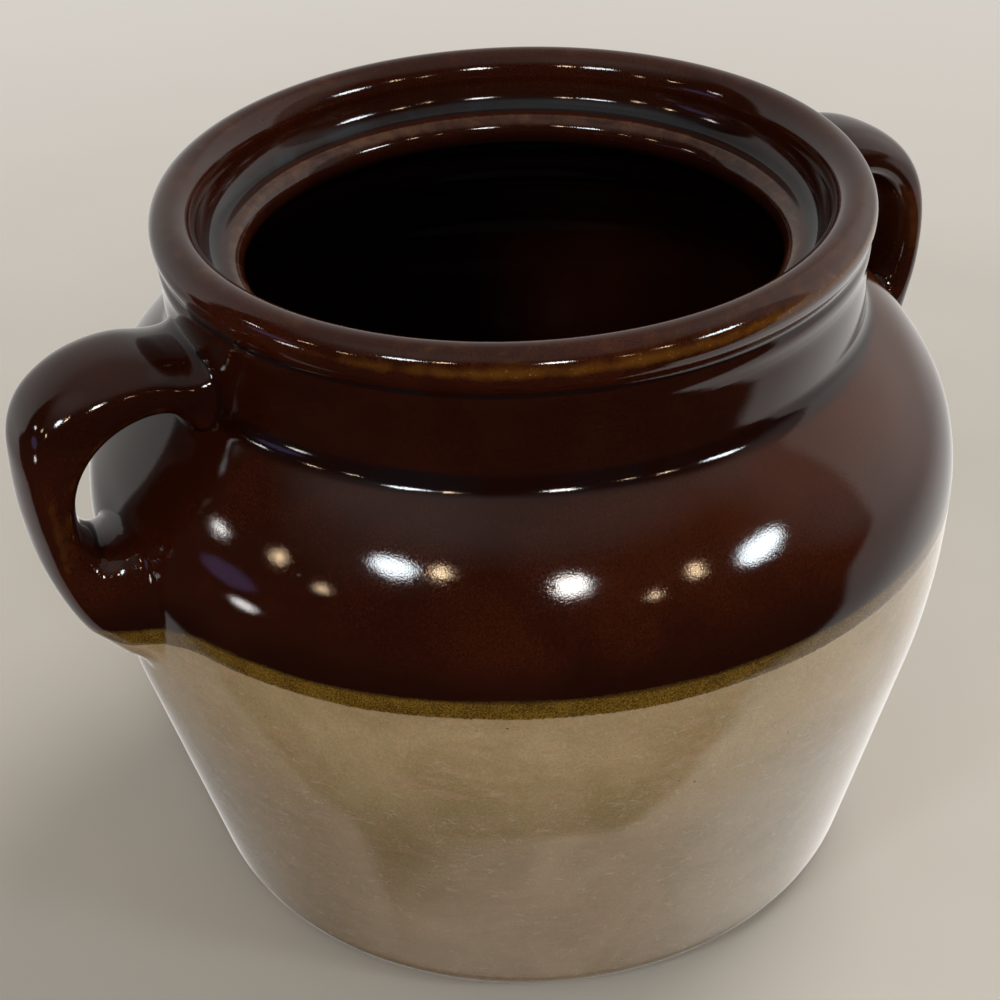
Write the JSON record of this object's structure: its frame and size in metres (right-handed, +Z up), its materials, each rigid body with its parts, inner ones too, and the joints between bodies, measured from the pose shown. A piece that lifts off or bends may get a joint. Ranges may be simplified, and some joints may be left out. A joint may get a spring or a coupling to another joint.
{
  "type": "stoneware bean pot",
  "caption": "Bulbous open stoneware pot with upright neck, rolled lip, inner lid ledge and two strap handles, brown glaze above a clear-glazed lower body.",
  "frame": {"origin": "centre of the base, on the surface the pot stands on", "axes": "+Z up along the pot's turning axis, the first handle stands out along -X and the second close to +X"},
  "size_m": [0.2147, 0.1828, 0.1545],
  "materials": {
    "bare_clay": "bare fired stoneware, matt, fine grained",
    "handle_clay": "fired stoneware strap under the glaze",
    "luting_clay": "fired slip that joins the straps to the pot",
    "inner_brown_glaze": "glossy dark red-brown liner glaze",
    "outer_brown_glaze": "glossy dark red-brown slip glaze, breaking to amber on edges",
    "olive_glaze": "speckled olive and mustard where the two glazes overlap",
    "clear_glaze": "satin clear glaze over warm grey-beige clay, finely crazed"
  },
  "bodies": {
    "root": {"pot_body": "bare_clay", "left_handle": "handle_clay", "right_handle": "handle_clay", "left_upper_lute": "luting_clay", "left_lower_lute": "luting_clay", "right_upper_lute": "luting_clay", "right_lower_lute": "luting_clay", "inner_brown_glaze": "inner_brown_glaze", "outer_brown_glaze": "outer_brown_glaze", "olive_glaze_band": "olive_glaze", "clear_glaze": "clear_glaze"}
  },
  "joints": []
}
